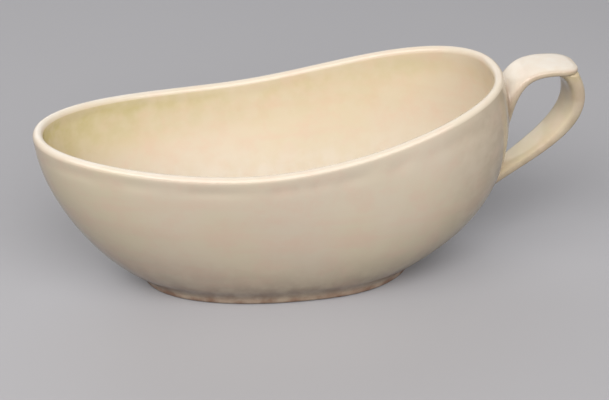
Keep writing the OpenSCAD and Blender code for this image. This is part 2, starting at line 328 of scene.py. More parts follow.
def lip_point(angle, turn):
    inward = WALL / 2 * (np.cos(turn) - 1)
    upward = LIP_RISE * np.sin(turn)
    edge = wall_point(angle, 1.0)
    return edge + inward * wall_normal(angle, 1.0) + upward * wall_along(angle, 1.0)


def raised(p):
    return stack(p[..., 0], p[..., 1], soft_max(p[..., 2], FLOOR_TOP, FLOOR_BLEND))


def floor_point(angle, share):
    edge = inner_point(angle, 0.0)
    c = np.cos(angle)
    rise = rim_height(rim_radius(angle) * c) - LIP_ROUND - FOOT_HEIGHT
    slope = HEEL * rise / (by_angle(TURN, c) * (rim_radius(angle) - foot_radius(angle)))
    drop = (1 - share) * np.hypot(edge[..., 0], edge[..., 1]) * slope
    return raised(stack(edge[..., 0] * share, edge[..., 1] * share, edge[..., 2] - drop))


def share_at(angle, z):
    low, high = np.zeros_like(z), np.ones_like(z)
    for _ in range(BISECTIONS):
        mid = (low + high) / 2
        below = wall_height(angle, mid) < z
        low, high = np.where(below, mid, low), np.where(below, high, mid)
    return (low + high) / 2


def wall_room(p):
    """Room between points and the outside of the wall."""
    angle = np.arctan2(p[..., 1], p[..., 0])
    return np.hypot(p[..., 0], p[..., 1]) - wall_radius(angle, share_at(angle, p[..., 2]))


def wall_facing(p, step=0.05):
    """The wall's outward direction at points on it."""
    slopes = [wall_room(p + step * axis) - wall_room(p - step * axis) for axis in np.eye(3)]
    return unit(np.stack(slopes, axis=-1))


def back_wall(z):
    radius = wall_radius(np.zeros(1), share_at(np.zeros(1), np.full(1, z)))
    return np.array([radius[0], z])


# Handle

def curve_point(pulls, t):
    return bezier(np.asarray(t)[..., None], *pulls)


def curve_along(pulls, t):
    t = np.asarray(t)[..., None]
    a, b, c, d = pulls
    return unit((1 - t) ** 2 * (b - a) + 2 * (1 - t) * t * (c - b) + t * t * (d - c))


def upper_pulls():
    root = back_wall(BACK_HEIGHT - UPPER_ROOT_DROP)
    tip = np.array([BACK_LENGTH + HANDLE_REACH, BACK_HEIGHT - THUMB_DROP])
    return np.array([root, root + polar(*UPPER_ROOT_PULL), tip + polar(*UPPER_TIP_PULL), tip])


def upper_at(x):
    """The share along the upper strap at which its middle reaches x."""
    shares = np.linspace(0, 1, CURVE_SAMPLES)
    return np.interp(x, curve_point(UPPER, shares)[:, 0], shares)


def lower_pulls():
    top = curve_point(UPPER, upper_at(UPPER[3, 0] - THUMB_OVERHANG))
    root = back_wall(LOWER_ROOT_HEIGHT)
    return np.array([top, top + polar(*LOWER_TOP_PULL), root + polar(*LOWER_ROOT_PULL), root])


UPPER = upper_pulls()
LOWER = lower_pulls()


def tip_left(t):
    return np.clip(UPPER[3, 0] - curve_point(UPPER, t)[..., 0], 0, None)


def tip_share(t):
    left = np.minimum(tip_left(t) / TIP_ROUND, 1)
    return (1 - (1 - left) ** TIP_POWER) ** (1 / TIP_POWER)


def upper_half_thickness(t):
    nose = np.sqrt(1 - (1 - np.minimum(tip_left(t) / TIP_NOSE, 1)) ** 2)
    half = (STRAP_THICKNESS + (ROOT_THICKNESS - STRAP_THICKNESS) * (1 - t) ** 2) / 2
    return half * (TIP_EDGE + (1 - TIP_EDGE) * tip_share(t)) * nose


def strap_point(turn, centre, along, half_width, half_thickness, free):
    power = ROOT_POWER + (EDGE_POWER - ROOT_POWER) * np.clip(free, 0, 1)
    side = half_width * signed_pow(np.cos(turn), 2 / power)
    lift = half_thickness * signed_pow(np.sin(turn), 2 / power)
    return stack(centre[..., 0] - lift * along[..., 1], side, centre[..., 1] + lift * along[..., 0])


def upper_point(turn, t, grow=0.0):
    half_width = STRAP_WIDTH / 2 * tip_share(t) + grow
    half_thickness = upper_half_thickness(t) + grow
    along = curve_along(UPPER, t)
    return strap_point(turn, curve_point(UPPER, t), along, half_width, half_thickness, t / UPPER_START)


def neck_share(t, loss):
    return 1 - loss * np.clip(1 - t / LOWER_START, 0, 1) ** 2


def lower_half_width(t):
    taper = np.abs(t) ** TAPER_POWER
    return neck_share(t, NECK_NARROWING) * (STRAP_WIDTH + (LOWER_WIDTH - STRAP_WIDTH) * taper) / 2


def lower_half_thickness(t):
    thickness = BOW_THICKNESS + (STRAP_THICKNESS - BOW_THICKNESS) * t
    return neck_share(t, NECK_THINNING) * thickness / 2


def lower_point(turn, t, grow=0.0):
    half_width = lower_half_width(t) + grow
    half_thickness = lower_half_thickness(t) + grow
    free = (1 - t) / (1 - LOWER_END)
    along = curve_along(LOWER, t)
    return strap_point(-turn, curve_point(LOWER, t), along, half_width, half_thickness, free)


def even_turns():
    """Turns at which a strap's section is cut into sides of one length."""
    dense = np.linspace(0, 2 * math.pi, TURN_SAMPLES)
    across = STRAP_WIDTH / 2 * signed_pow(np.cos(dense), 2 / EDGE_POWER)
    through = STRAP_THICKNESS / 2 * signed_pow(np.sin(dense), 2 / EDGE_POWER)
    length = np.concatenate([[0], np.cumsum(np.hypot(np.diff(across), np.diff(through)))])
    return np.interp(np.arange(STRAP_SIDES) * length[-1] / STRAP_SIDES, length, dense)


TURNS = even_turns()
# Painted light round the straps: the top face whiter, the rest yellower as painted shade
STRAP_TOP = smooth_step(np.sin(TURNS), *STRAP_TOP_SPAN)
UPPER_RING_LIGHT_AND_SHADE = STRAP_PAINTED_SHADE + (STRAP_TOP_PAINTED_LIGHT - STRAP_PAINTED_SHADE) * STRAP_TOP
LOWER_RING_PAINTED_SHADE = np.full(STRAP_SIDES, STRAP_PAINTED_SHADE)
# Painted shade: the straps' side edges browner
STRAP_RING_SHADE = EDGE_SHADE * smooth_step(np.abs(np.cos(TURNS)), *STRAP_EDGE_SPAN)


def meet(line, free, sunk, room):
    """The shares along a strap's lines at which they reach the next piece."""
    free = np.full(STRAP_SIDES, free)
    sunk = np.full(STRAP_SIDES, sunk)
    for _ in range(BISECTIONS):
        mid = (free + sunk) / 2
        outside = room(line(mid)) > 0
        free, sunk = np.where(outside, mid, free), np.where(outside, sunk, mid)
    return (free + sunk) / 2


def thumb_under(x):
    t = upper_at(x)
    return curve_point(UPPER, t)[..., 1] - upper_half_thickness(t) / curve_along(UPPER, t)[..., 0]


def thumb_room(p):
    return thumb_under(p[..., 0]) - p[..., 2]


def end_point(point, met, free, share, flare):
    """A strap's luted end: share 0 is where it meets the next piece, 1 where its free part starts."""
    return point(TURNS, met + (free - met) * share, flare * (1 - share) ** 2)


def end_rings(point, met, free, flare, rows):
    """Rings of a strap's luted end, the first of them a step inside the next piece."""
    return [end_point(point, met, free, (k - 1) / rows, flare) for k in range(rows + 1)]


# Meshes

def handle_end():
    """How far back the handle reaches, on the lower strap's outside."""
    outside = np.full(CURVE_SAMPLES, -math.pi / 2)
    return lower_point(outside, np.linspace(0, 1, CURVE_SAMPLES))[:, 0].max()


TO_ORIGIN = np.array([(FRONT_LENGTH - handle_end()) / 2, 0, 0])


def make_piece(name, points, faces, material, pool_and_painted_light, painted_shade):
    """A smooth mesh that rides on the vessel and stands for the CAD node of the same name."""
    mesh = bpy.data.meshes.new(name)
    mesh.from_pydata(((points + TO_ORIGIN) * MM).tolist(), [], faces)
    mesh.validate()
    mesh.shade_smooth()
    mesh.attributes.new("pool_and_painted_light", "FLOAT", "POINT").data.foreach_set("value", pool_and_painted_light)
    mesh.attributes.new("painted_shade", "FLOAT", "POINT").data.foreach_set("value", painted_shade)
    mesh.materials.append(material)
    piece = bpy.data.objects.new(name + "_glazed", mesh)
    bpy.context.scene.collection.objects.link(piece)
    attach(piece, "root")
    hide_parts(name)


def band_faces(first, second, count):
    """Quads between two rings of points, given the index at which each starts."""
    return [
        (first + i, first + (i + 1) % count, second + (i + 1) % count, second + i)
        for i in range(count)
    ]


def skin(rings, start, end):
    """Points and faces of a closed skin over rings, with a point to close each end."""
    count = len(rings[0])
    last_ring = 1 + (len(rings) - 1) * count
    last_point = last_ring + count
    points = np.concatenate([[start], *rings, [end]])
    faces = [(0, 1 + (i + 1) % count, 1 + i) for i in range(count)]
    for k in range(len(rings) - 1):
        faces += band_faces(1 + k * count, 1 + (k + 1) * count, count)
    faces += [(last_point, last_ring + i, last_ring + (i + 1) % count) for i in range(count)]
    return points, faces


def tube(rings):
    """Points and faces of a closed tube whose last ring joins its first."""
    count = len(rings[0])
    starts = [k * count for k in range(len(rings))]
    faces = []
    for first, second in zip(starts, starts[1:] + starts[:1]):
        faces += band_faces(first, second, count)
    return np.concatenate(rings), faces


def slab(front, back):
    """Points and faces of a closed slab between two sheets, each a grid of points."""
    rows, columns = front.shape[:2]
    count = rows * columns
    index = np.arange(count).reshape(rows, columns)
    corners = [index[:-1, :-1], index[:-1, 1:], index[1:, 1:], index[1:, :-1]]
    quads = np.stack(corners, axis=-1).reshape(-1, 4)
    border = [*index[0, :-1], *index[:-1, -1], *index[-1, :0:-1], *index[:0:-1, 0]]
    faces = quads.tolist() + (count + quads[:, ::-1]).tolist()
    faces += [(b, a, count + a, count + b) for a, b in zip(border, border[1:] + border[:1])]
    return np.concatenate([front.reshape(-1, 3), back.reshape(-1, 3)]), faces


def near(points, joint, reach):
    """1 at a joint's points, falling to 0 away from them."""
    least = np.full(len(points), np.inf)
    for p in joint:
        np.minimum(least, ((points - p) ** 2).sum(1), out=least)
    return np.exp(-least / reach ** 2)


# Joints, where the glaze pools and shade is painted

def root_joint(point, free, sunk):
    """Where a strap's root meets the wall: the shares, and the points."""
    met = meet(lambda t: point(TURNS, t, ROOT_FLARE), free, sunk, wall_room)
    return met, point(TURNS, met, ROOT_FLARE)


UPPER_MET, UPPER_JOINT = root_joint(upper_point, UPPER_START, UPPER_SUNK)
LOWER_MET, LOWER_JOINT = root_joint(lower_point, LOWER_END, LOWER_SUNK)
THUMB_MET = meet(lambda t: lower_point(TURNS, t), LOWER_START, THUMB_SUNK, thumb_room)
THUMB_JOINT = lower_point(TURNS, THUMB_MET)


def ring_angles():
    """Angles round the bowl, closer together at its ends, where it curves most."""
    turn = np.arange(AROUND) * 2 * math.pi / AROUND
    reach = np.where(np.cos(turn) > 0, BACK_LENGTH, FRONT_LENGTH)
    return np.arctan2(RIM_WIDTH / 2 * np.sin(turn), reach * np.cos(turn))


ANGLES = ring_angles()
OUT = stack(np.cos(ANGLES), np.sin(ANGLES), 0.0)
UP = 0 * OUT + [0.0, 0.0, 1.0]
PLAIN = np.zeros(AROUND)
FOOT_JOINT = wall_point(ANGLES, 0.0)

# Each joint's points, how strong its pool or its painted shade is, and how far that reaches
JOINT_POOLS = ((UPPER_JOINT, 0.3, 2.6), (LOWER_JOINT, 0.3, 3.0), (THUMB_JOINT, 0.5, 2.4))
# Painted shade: browner in the corners at the handle's roots and low on the wall above the foot
JOINT_SHADES = ((UPPER_JOINT, 0.45, 2.2), (LOWER_JOINT, 0.6, 3.6), (FOOT_JOINT, 0.5, 9.0))


def near_joints(points, joints):
    """The most that any of the joints gives at points."""
    return np.max([strength * near(points, joint, reach) for joint, strength, reach in joints], axis=0)


def joint_pool(points):
    return near_joints(points, JOINT_POOLS)


def joint_shade(points):
    """Painted brown shade, in the corners and low on the foot."""
    # Painted shade: the foot ring browner towards the floor
    low = FOOT_SHADE - FOOT_SHADE * smooth_step(points[:, 2], *FOOT_SHADE_SPAN)
    return np.maximum(near_joints(points, JOINT_SHADES), low)


def along_skin(ring_values, rows, end=0.0):
    """Values for a skin's points: one ring's values on each of its rings, and the end point's."""
    return np.concatenate([[0.0], np.tile(ring_values, rows), [end]])


# Hand-made unevenness

def lip_ripple(angle):
    """An uneven ripple under the lip, from 0 to 1, that dies away towards the far side."""
    wave = 0.5 + 0.5 * np.sin(19 * angle + 2.4 * np.sin(7 * angle) + 3.1 * np.sin(4 * angle))
    return wave * (0.55 + 0.45 * np.cos(angle + 1.8))


def hand_waves(angle, t):
    """How far the hand-pressed wall lies inside its true shape, away from the handle.

    The numbers in the sines are free choices: how many waves there are, and where each starts.
    """
    broad = 1 + np.sin(3 * angle + 4 * t + 0.6) * np.sin(5 * t + 2 * angle + 1.1)
    fine = 1 + np.sin(17 * angle + 9 * t) * np.sin(13 * angle - 21 * t + 0.8)
    under_lip = hump(t, *LIP_BAND) * lip_ripple(angle)
    low = hump(t, *LOW_BAND) * (1 + np.sin(41 * angle + 3 * np.sin(11 * angle)))
    fade = smooth_step(t, *WAVE_START) * (1 - smooth_step(t, *WAVE_END))
    fade = fade * smooth_step(1 - np.cos(angle), *HANDLE_CLEAR)
    return (BROAD_WAVE * broad + FINE_WAVE * fine + LIP_WAVE * under_lip + LOW_WAVE * low) * fade


# Pieces

def forward(ring):
    """How far a ring's points lie towards the front end: 0 from the middle back, 1 at the end."""
    return np.clip(-ring[:, 0] / FRONT_LENGTH, 0, 1) ** 2


def wall_marks(points, angle, t):
    """The pool and the painted shade of the wall's outside, with painted warm shade at the back end."""
    # Painted warm shade: the back end yellower and browner
    backward = smooth_step(points[:, 0], *BACK_SPAN)
    pool_and_painted_light = BACK_WARM_SHADE * backward + FRONT_POOL * forward(points)
    # Painted shade that follows the ripple under the lip, a little shifted round
    under_lip = LIP_RIPPLE_SHADE * hump(t, *LIP_SHADE_BAND) * lip_ripple(angle + LIP_SHADE_SHIFT)
    # Painted shade: the wall browner towards the foot
    low = LOW_SHADE * (1 - smooth_step(t, *LOW_SPAN))
    return pool_and_painted_light, under_lip + low + BACK_SHADE * backward


def base_rows():
    """The flat underside, from its middle out. Each row is a ring, its pool and its stain."""
    rows = 8
    for k in range(1, rows):
        yield wall_point(ANGLES, 0.0) * [k / rows, k / rows, 1], PLAIN, PLAIN


def wall_rows():
    rows = 84
    for k in range(rows + 1):
        t = k / rows
        ring = wall_point(ANGLES, t)
        dent = hand_waves(ANGLES, t)[:, None]
        yield ring - dent * wall_normal(ANGLES, t), *wall_marks(ring, ANGLES, t)


def lip_rows():
    """The rounded lip. It is whiter on top, most of all at the front end: partly thin glaze, partly a
    painted highlight.
    """
    rows = 20
    for k in range(1, rows):
        turn = math.pi * k / rows
        ring = lip_point(ANGLES, turn)
        frontward = smooth_step(-ring[:, 0], *LIP_FRONT_SPAN)
        yield ring, LIP_THIN_AND_HIGHLIGHT * (1 + frontward) * math.sin(turn) ** 2, PLAIN


def inner_rows():
    """The inside of the wall, from the lip down. It is greener high up, most of all in front, and whiter
    with painted light low down and at the back end.
    """
    rows = 76
    for k in range(rows + 1):
        t = 1 - k / rows
        dent = hand_waves(ANGLES + INNER_WAVE_SHIFT, t)[:, None] * smooth_step(t, *INNER_WAVE_START)
        ring = raised(inner_point(ANGLES, t) + dent * wall_normal(ANGLES, t))
        high = smooth_step(t, *INNER_SPAN) * (INNER_POOL - FLOOR_PAINTED_LIGHT + INNER_FRONT_TINT * forward(ring))
        under_lip = INNER_LIP_POOL * hump(t, *INNER_LIP_BAND)
        # Painted light: the inside whiter towards the back end
        backward = smooth_step(ring[:, 0], *INNER_BACK_SPAN)
        yield ring, FLOOR_PAINTED_LIGHT + high + under_lip + INNER_BACK_PAINTED_LIGHT * backward, PLAIN


def floor_rows():
    rows = 24
    for k in range(1, rows):
        # The floor painted whiter, a painted highlight
        yield floor_point(ANGLES, 1 - k / rows), PLAIN + FLOOR_PAINTED_LIGHT, PLAIN


def make_bowl(material):
    rows = [*base_rows(), *wall_rows(), *lip_rows(), *inner_rows(), *floor_rows()]
    rings, pools_and_painted_light, painted_shades = zip(*rows)
    points, faces = skin(rings, [0, 0, FOOT_HEIGHT], [0, 0, FLOOR_TOP])
    pool_and_painted_light = joint_pool(points) + np.concatenate([[0.0], *pools_and_painted_light, [FLOOR_PAINTED_LIGHT]])
    painted_shade = joint_shade(points) + np.concatenate([[0.0], *painted_shades, [0.0]])
    make_piece("bowl", points, faces, material, pool_and_painted_light, painted_shade)


def fillet(on_first, first_way, on_last, last_way, corner, rows):
    """Rings of a hollow-faced fillet that leaves two surfaces along them.

    The first ring and the last but one are sunk in the surfaces, and the last in the corner.
    """
    first_pull = FILLET_PULL * np.linalg.norm(corner - on_first, axis=-1, keepdims=True)
    last_pull = FILLET_PULL * np.linalg.norm(corner - on_last, axis=-1, keepdims=True)
    pulls = (on_first, on_first + first_pull * first_way, on_last + last_pull * last_way, on_last)
    face = [bezier(k / rows, *pulls) for k in range(rows + 1)]
    span = on_last - on_first
    first_out = unit(span - (span * first_way).sum(-1, keepdims=True) * first_way)
    last_out = unit((span * last_way).sum(-1, keepdims=True) * last_way - span)
    first_edge = on_first - EDGE_RUN * first_way - EDGE_SUNK * first_out
    last_edge = on_last - EDGE_RUN * last_way - EDGE_SUNK * last_out
    back = corner + SUNK * unit(corner - face[rows // 2])
    return [first_edge, *face, last_edge, back]


def rounded_edge(edge, across):
    """Rings round one bottom edge of the foot, from its side to its underside."""
    rings = []
    for turn in np.linspace(0, math.pi / 2, EDGE_ROWS + 1):
        inset = (1 - math.cos(turn)) * across
        rings.append(edge + FOOT_EDGE_ROUND * (inset + (1 - math.sin(turn)) * UP))
    return rings


def make_foot_ring(material):
    """The ring, with rounded bottom edges and a soft run into the body above it."""
    outside = foot_radius(ANGLES)[:, None] * OUT
    inside = foot_radius(ANGLES, FOOT_WALL)[:, None] * OUT
    on_foot = outside + (FOOT_HEIGHT - RUN_DROP) * UP
    on_wall = wall_point(ANGLES, RUN_END)
    down_wall = -wall_along(ANGLES, RUN_END)
    soft_run = fillet(on_foot, UP, on_wall, down_wall, outside + FOOT_HEIGHT * UP, RUN_ROWS)
    rings = [
        inside + (FOOT_HEIGHT + SUNK) * UP,
        *rounded_edge(inside, OUT),
        *rounded_edge(outside, -OUT)[::-1],
        *soft_run[1:-1],
        outside - 2 * SUNK * OUT + (FOOT_HEIGHT + SUNK) * UP,
    ]
    points, faces = tube(rings)
    wall_pool_and_shade, wall_shade = wall_marks(points, np.tile(ANGLES, len(rings)), 0.0)
    pool_and_painted_light, painted_shade = joint_pool(points) + wall_pool_and_shade, joint_shade(points) + wall_shade
    make_piece("foot_ring", points, faces, material, pool_and_painted_light, painted_shade)


def make_upper_strap(material):
    rows = 90
    rings = end_rings(upper_point, UPPER_MET, UPPER_START, ROOT_FLARE, ROOT_ROWS)
    for k in range(1, rows):
        t = UPPER_START + (1 - UPPER_START) * (1 - (1 - k / rows) ** 2)
        rings.append(upper_point(TURNS, np.full(STRAP_SIDES, t)))
    points, faces = skin(rings, rings[0].mean(0), [UPPER[3, 0], 0, UPPER[3, 1]])
    pool_and_painted_light = joint_pool(points) + along_skin(UPPER_RING_LIGHT_AND_SHADE, len(rings), STRAP_TOP_PAINTED_LIGHT)
    painted_shade = joint_shade(points) + along_skin(STRAP_RING_SHADE, len(rings))
    make_piece("upper_strap", points, faces, material, pool_and_painted_light, painted_shade)


def make_lower_strap(material):
    rows = 80
    rings = end_rings(lower_point, LOWER_MET, LOWER_END, ROOT_FLARE, ROOT_ROWS)
    for k in range(1, rows + 1):
        t = LOWER_END + (LOWER_START - LOWER_END) * k / rows
        rings.append(lower_point(TURNS, np.full(STRAP_SIDES, t)))
    rings += end_rings(lower_point, THUMB_MET, LOWER_START, 0.0, THUMB_ROWS)[-2::-1]
    points, faces = skin(rings, rings[0].mean(0), rings[-1].mean(0))
    pool_and_painted_light = joint_pool(points) + along_skin(LOWER_RING_PAINTED_SHADE, len(rings))
    painted_shade = joint_shade(points) + along_skin(STRAP_RING_SHADE, len(rings))
    make_piece("lower_strap", points, faces, material, pool_and_painted_light, painted_shade)


def slide_to_wall(p):
    """Points moved level, to or from the middle, until they lie on the wall's outside."""
    out = unit(p * [1, 1, 0])
    for _ in range(SLIDES):
        p = p - wall_room(p)[:, None] * out
    return p


def root_slip_marks(points, strap_light_and_shade):
    """A root slip's pool, painted light and painted shade, which run from the wall's to the strap's over
    its rings.
    """
    share = np.concatenate([[1.0, 1.0], np.linspace(1, 0, ROOT_SLIP_ROWS + 1), [0.0]])
    on_wall = np.repeat(share, STRAP_SIDES)
    angle = np.arctan2(points[:, 1], points[:, 0])
    wall_pool_and_shade, wall_shade = wall_marks(points, angle, share_at(angle, points[:, 2]))
    pool_and_painted_light = on_wall * wall_pool_and_shade + (1 - on_wall) * np.tile(strap_light_and_shade, len(share))
    painted_shade = on_wall * wall_shade + (1 - on_wall) * np.tile(STRAP_RING_SHADE, len(share))
    return joint_pool(points) + pool_and_painted_light, joint_shade(points) + painted_shade


def make_root_slip(name, point, met, corner, free, leg, strap_light_and_shade, material):
    """The fillet of slip round a strap's root."""
    reach = np.linalg.norm(end_point(point, met, free, STEP, ROOT_FLARE) - corner, axis=1) / STEP
    share = leg / reach
    on_strap = end_point(point, met, free, share, ROOT_FLARE)
    to_wall = unit(end_point(point, met, free, share - STEP, ROOT_FLARE) - on_strap)
    ahead, behind = np.roll(corner, -1, axis=0), np.roll(corner, 1, axis=0)
    facing = wall_facing(corner)
    away = unit(np.cross(ahead - behind, facing))
    outward = np.sign((away * (corner - corner.mean(0))).sum(1, keepdims=True))
    on_wall = slide_to_wall(corner + leg * away * outward)
    wall_out = wall_facing(on_wall)
    inward = corner - on_wall
    to_corner = unit(inward - (inward * wall_out).sum(1, keepdims=True) * wall_out)
    rings = fillet(on_strap, to_wall, on_wall, to_corner, corner, ROOT_SLIP_ROWS)
    points, faces = tube(rings[::-1])
    pool_and_painted_light, painted_shade = root_slip_marks(points, strap_light_and_shade)
    make_piece(name, points, faces, material, pool_and_painted_light, painted_shade)


# Places across the thumb rest's bead, and the straps' half thickness there, both as shares
BEAD_ACROSS = np.sin(np.linspace(-1, 1, BEAD_COLUMNS) * math.pi / 2)
BEAD_DEPTH = (1 - np.abs(BEAD_ACROSS) ** EDGE_POWER) ** (1 / EDGE_POWER)


def bead_under(x):
    """A line across the upper strap's underside, at x along the vessel."""
    t = upper_at(x)
    drop = upper_half_thickness(t) * BEAD_DEPTH / curve_along(UPPER, t)[..., 0]
    return stack(x, BEAD_ACROSS * STRAP_WIDTH / 2 * tip_share(t), curve_point(UPPER, t)[..., 1] - drop)


def bead_inside(t):
    """A line across the inside of the lower strap, at shares along it."""
    lift = (lower_half_thickness(t) * BEAD_DEPTH)[:, None]
    along = curve_along(LOWER, t)
    face = curve_point(LOWER, t) + lift * np.stack([along[:, 1], -along[:, 0]], axis=-1)
    return stack(face[:, 0], BEAD_ACROSS * lower_half_width(t), face[:, 1])


def bead_span():
    """The shares along the lower strap at which the bead's corner lies, and at which it ends."""
    low, high = np.full(BEAD_COLUMNS, THUMB_SUNK), np.full(BEAD_COLUMNS, LOWER_START)
    for _ in range(BISECTIONS):
        mid = (low + high) / 2
        clear = bead_under(bead_inside(mid)[:, 0])[:, 2] > bead_inside(mid)[:, 2]
        low, high = np.where(clear, low, mid), np.where(clear, mid, high)
    speed = np.linalg.norm(bead_inside(high + STEP) - bead_inside(high), axis=1) / STEP
    return high, high + THUMB_SLIP_DROP / speed


def bead_rings(met, end):
    """The rings of the bead's fillet, each a line from edge to edge."""
    corner, down = bead_inside(met), bead_inside(end)
    top = bead_under(corner[:, 0] - THUMB_SLIP_REACH)
    top_way = unit(bead_under(top[:, 0] + STEP) - top)
    down_way = unit(bead_inside(end - STEP) - down)
    return fillet(top, top_way, down, down_way, corner, BEAD_ROWS)


def bead_front(rings, met, end):
    """The bead's face, as wide as the straps."""
    front = np.stack(rings)
    tuck = BEAD_TUCK * smooth_step(np.abs(BEAD_ACROSS), *BEAD_TUCK_SPAN) * np.sign(BEAD_ACROSS)
    for share, row in zip(np.linspace(0, 1, len(front)), front):
        strap_half = lower_half_width(met + (end - met) * share)
        half = strap_half + (STRAP_WIDTH / 2 - strap_half) * (1 - share) ** 3
        row[:, 1] = BEAD_ACROSS * half - tuck
    return front


def bead_back(rows, met, end):
    """Lines along the two straps behind the bead, from its upper to its lower end."""
    x = bead_inside(met)[:, 0]
    shares = np.linspace(-1, 1, rows)
    upper = [bead_under(x + THUMB_SLIP_REACH * share) for share in shares if share < 0]
    lower = [bead_inside(met + (end - met) * share) for share in shares if share >= 0]
    return np.stack(upper + lower)


def make_thumb_rest_slip(material):
    """The bead between the upper strap's underside and the lower strap's inside."""
    met, end = bead_span()
    rings = bead_rings(met, end)
    front = bead_front(rings[:-1], met, end)
    back = bead_back(len(front), met, end) + rings[-1] - bead_inside(met)
    back[..., 1] *= BEAD_BACK_SHARE
    points, faces = slab(front, back)
    # Painted shade on the bead's side edges
    edge = EDGE_SHADE * smooth_step(np.abs(BEAD_ACROSS), *BEAD_EDGE_SPAN)
    # The bead yellower as painted shade, and pooled at the joint
    pool_and_painted_light = STRAP_PAINTED_SHADE + joint_pool(points)
    painted_shade = joint_shade(points) + np.tile(edge, 2 * len(front))
    make_piece("thumb_rest_slip", points, faces, material, pool_and_painted_light, painted_shade)


def make_foot_slip(material):
    """The bead in the corner between the foot ring's inside and the base."""
    corner = foot_radius(ANGLES, FOOT_WALL)[:, None] * OUT + FOOT_HEIGHT * UP
    on_ring = corner - FOOT_SLIP * UP
    on_base = corner - FOOT_SLIP * OUT
    rings = fillet(on_ring, UP, on_base, OUT, corner, FOOT_SLIP_ROWS)
    points, faces = tube(rings[::-1])
    pool_and_painted_light, painted_shade = joint_pool(points), joint_shade(points)
    make_piece("foot_slip", points, faces, material, pool_and_painted_light, painted_shade)


# Materials

class Nodes:
    """Short calls for making a material's nodes."""

    def __init__(self, name):
        self.material = bpy.data.materials.new(name)
        self.material.use_nodes = True
        self.tree = self.material.node_tree
        self.shader = self.tree.nodes["Principled BSDF"]

    def add(self, kind, inputs=None, **settings):
        node = self.tree.nodes.new(kind)
        for key, value in settings.items():
            setattr(node, key, value)
        for key, value in (inputs or {}).items():
            self.set(node.inputs[key], value)
        return node

    def set(self, socket, value):
        if isinstance(value, bpy.types.NodeSocket):
            self.tree.links.new(value, socket)
        else:
            socket.default_value = value

    def noise(self, vector, scale, detail=3.0, roughness=0.5):
        inputs = {"Vector": vector, "Scale": scale, "Detail": detail, "Roughness": roughness}
        return self.add("ShaderNodeTexNoise", inputs).outputs["Fac"]

    def span(self, value, low, high, to_low=0.0, to_high=1.0):
        inputs = {"Value": value, "From Min": low, "From Max": high}
        inputs.update({"To Min": to_low, "To Max": to_high})
        return self.add("ShaderNodeMapRange", inputs, interpolation_type="SMOOTHSTEP").outputs["Result"]

    def math(self, operation, first, second):
        return self.add("ShaderNodeMath", {0: first, 1: second}, operation=operation).outputs[0]

    def mix(self, share, first, second):
        node = self.add("ShaderNodeMix", data_type="RGBA")
        self.set(node.inputs["Factor"], share)
        self.set(node.inputs["A"], first)
        self.set(node.inputs["B"], second)
        return node.outputs["Result"]


def colour(red, green, blue):
    """A colour given as 0 to 255 screen values."""
    values = [v / 255 for v in (red, green, blue)]
    return [v / 12.92 if v <= 0.04045 else ((v + 0.055) / 1.055) ** 2.4 for v in values] + [1.0]


CREAM = colour(237, 226, 207)
WARM_CREAM = colour(239, 215, 196)
GREEN_CREAM = colour(234, 225, 197)
# Greener glaze, for pooling and for painted shade
POOLED_AND_SHADED = colour(214, 204, 152)
# Whiter glaze, for thin glaze and for painted highlights
THIN_AND_LIT = colour(244, 238, 227)
# Brown for painted shade: low on the wall and foot, in the handle's corners and edges, at the back end
# and in the ripple under the lip
SHADE_BROWN = colour(150, 120, 101)
SPECK = colour(96, 80, 60)
FLOOR_SEEN = colour(184, 186, 192)
FLOOR_LIT = colour(74, 68, 64)


def mottled_cream(n, place):
    """The cream body's colour, with broad greener patches, a warmer mottle and level warm streaks."""
    level = n.add("ShaderNodeMapping", {"Vector": place, "Scale": (14.0, 14.0, 120.0)}).outputs["Vector"]
    broad = n.span(n.noise(place, scale=17.0, detail=2.0), 0.35, 0.65)
    mottle = n.span(n.noise(place, scale=75.0, detail=4.0, roughness=0.6), 0.42, 0.72, to_high=0.55)
    streaks = n.span(n.noise(level, scale=1.0), 0.45, 0.75, to_high=0.4)
    body = n.mix(n.math("MULTIPLY", broad, 0.7), CREAM, GREEN_CREAM)
    body = n.mix(mottle, body, WARM_CREAM)
    return n.mix(streaks, body, WARM_CREAM)


def glaze_pool_and_painted_light(n, place, body):
    """The body's colour under the glaze: greener where it pools and where shade is painted, whiter where
    it is thin and where a highlight is painted, and browner with painted shade.
    """
    pool_and_painted_light = n.add("ShaderNodeAttribute", attribute_name="pool_and_painted_light").outputs["Fac"]
    painted_shade = n.add("ShaderNodeAttribute", attribute_name="painted_shade").outputs["Fac"]
    uneven = n.span(n.noise(place, scale=130.0), 0.3, 0.7, to_low=0.55)
    pooled_and_lit = n.math("MULTIPLY", pool_and_painted_light, uneven)
    body = n.mix(pooled_and_lit, body, POOLED_AND_SHADED)
    body = n.mix(n.math("MULTIPLY", pooled_and_lit, -1.0), body, THIN_AND_LIT)
    return n.mix(n.math("MULTIPLY", painted_shade, uneven), body, SHADE_BROWN)


def specked(n, place, body):
    """The colour with a few iron specks."""
    cells = n.add("ShaderNodeTexVoronoi", {"Vector": place, "Scale": 62.0}).outputs
    chosen = n.add("ShaderNodeSeparateColor", {"Color": cells["Color"]}).outputs["Red"]
    spot = n.span(cells["Distance"], 0.022, 0.044, to_low=1.0, to_high=0.0)
    return n.mix(n.math("MULTIPLY", spot, n.math("GREATER_THAN", chosen, 0.9)), body, SPECK)


